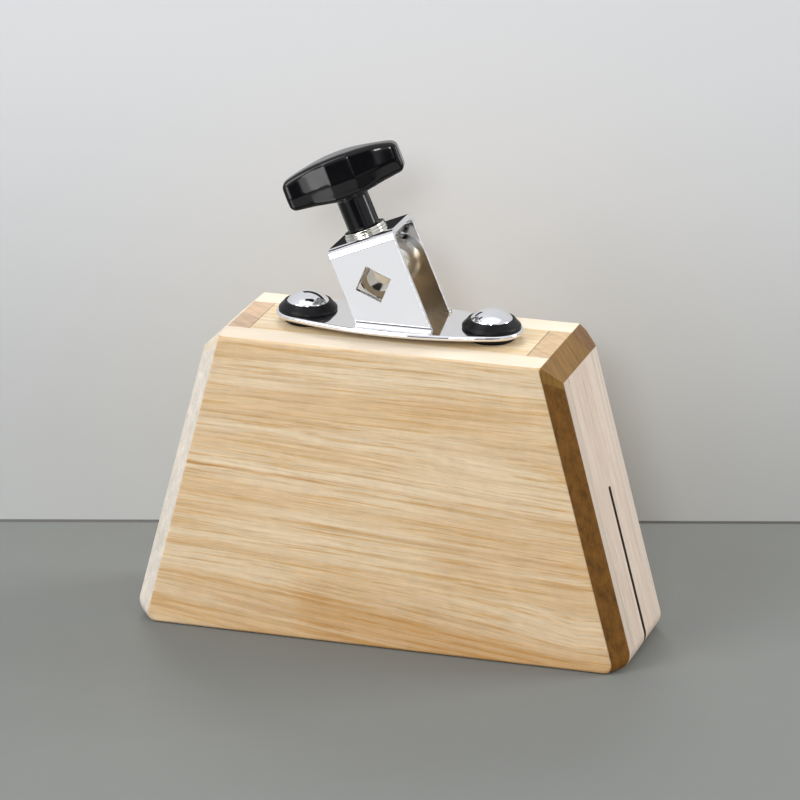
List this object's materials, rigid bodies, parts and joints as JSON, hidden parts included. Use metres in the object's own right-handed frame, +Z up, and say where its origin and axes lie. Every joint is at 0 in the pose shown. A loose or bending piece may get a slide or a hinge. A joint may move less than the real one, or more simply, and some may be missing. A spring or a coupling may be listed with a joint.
{
  "type": "woodblock",
  "caption": "Hollow trapezoid ash woodblock with a saw slot, a chromed plate on rubber rings and a tilted rod clamp with an eye bolt and a black T-handle.",
  "frame": {"origin": "middle of the block's underside", "axes": "+X to the right across the width as seen from the front, +Y to the back, +Z up; the front face looks towards -Y"},
  "size_m": [0.1864, 0.054, 0.1818],
  "materials": {
    "front_panel": "clear satin lacquer over sanded wood",
    "back_panel": "clear satin lacquer over sanded wood",
    "left_rail": "clear satin lacquer over sanded wood",
    "right_rail": "clear satin lacquer over sanded wood",
    "top_board": "clear satin lacquer over sanded wood",
    "bottom_strip_front": "clear satin lacquer over sanded wood",
    "bottom_strip_back": "clear satin lacquer over sanded wood",
    "base_plate": "bright chrome plate",
    "clamp_strap": "bright chrome plate",
    "eye_bolt": "nickel and chrome plate",
    "flat_washer": "nickel plate",
    "spring_washer": "nickel plate",
    "t_handle": "glossy moulded plastic",
    "thread_insert": "zinc plate",
    "dome_bolt_left": "bright chrome plate",
    "dome_bolt_right": "bright chrome plate",
    "bolt_ring_left": "smooth moulded rubber",
    "bolt_ring_right": "smooth moulded rubber",
    "plate_spacer_left": "matt rubber",
    "plate_spacer_right": "matt rubber",
    "t_nut_left": "zinc plate",
    "t_nut_right": "zinc plate"
  },
  "bodies": {
    "block": {"front_panel": "front_panel", "back_panel": "back_panel", "left_rail": "left_rail", "right_rail": "right_rail", "top_board": "top_board", "bottom_strip_front": "bottom_strip_front", "bottom_strip_back": "bottom_strip_back", "base_plate": "base_plate", "clamp_strap": "clamp_strap", "flat_washer": "flat_washer", "spring_washer": "spring_washer", "dome_bolt_left": "dome_bolt_left", "dome_bolt_right": "dome_bolt_right", "bolt_ring_left": "bolt_ring_left", "bolt_ring_right": "bolt_ring_right", "plate_spacer_left": "plate_spacer_left", "plate_spacer_right": "plate_spacer_right", "t_nut_left": "t_nut_left", "t_nut_right": "t_nut_right"},
    "handle": {"t_handle": "t_handle", "thread_insert": "thread_insert"},
    "eye": {"eye_bolt": "eye_bolt"}
  },
  "joints": [
    {"name": "handle_turn", "type": "hinge", "parent": "block", "child": "handle", "pos_m": [-0.01327, 0, 0.1503], "axis": [0.3875, 0, -0.9219], "range_deg": [-720, 1800]},
    {"name": "eye_bolt_slide", "type": "slide", "parent": "block", "child": "eye", "axis": [-0.3875, 0, 0.9219], "range_m": [-0.0021, 0.0051]}
  ],
  "couplings": [
    {"joint": "eye_bolt_slide", "follows": "handle_turn", "m_per_rad": 0.00015915}
  ]
}
